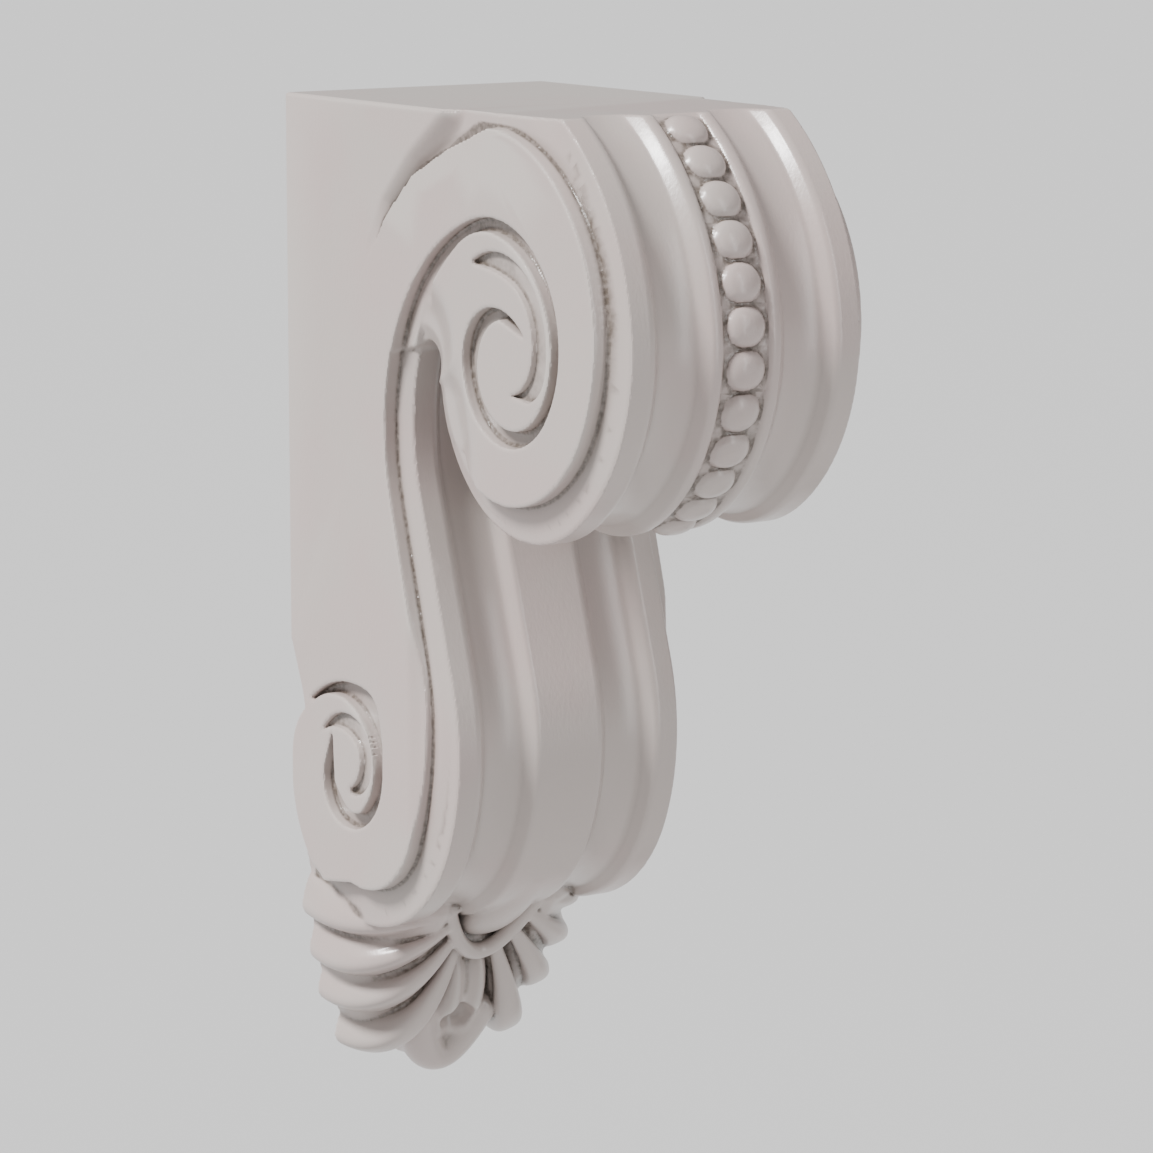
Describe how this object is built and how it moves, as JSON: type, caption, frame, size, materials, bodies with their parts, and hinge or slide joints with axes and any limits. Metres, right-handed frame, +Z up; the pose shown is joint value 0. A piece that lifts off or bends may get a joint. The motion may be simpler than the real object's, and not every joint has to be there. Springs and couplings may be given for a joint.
{
  "type": "scroll corbel",
  "caption": "Carved wall bracket with a large beaded scroll, a fluted S-shaped neck, small side scrolls and a leaf at the foot; supports a shelf, mantel or cornice.",
  "frame": {"origin": "centre of the wall mount, on the flat back, 100 mm below the top face", "axes": "+Y points from the corbel into the wall, so the scroll projects to -Y; +Z is up; X runs across the width"},
  "size_m": [0.1068, 0.202, 0.356],
  "materials": {
    "paint": "satin greige paint over carved wood, with brown glaze in the recesses"
  },
  "bodies": {
    "root": {"corbel": "paint"}
  },
  "joints": []
}
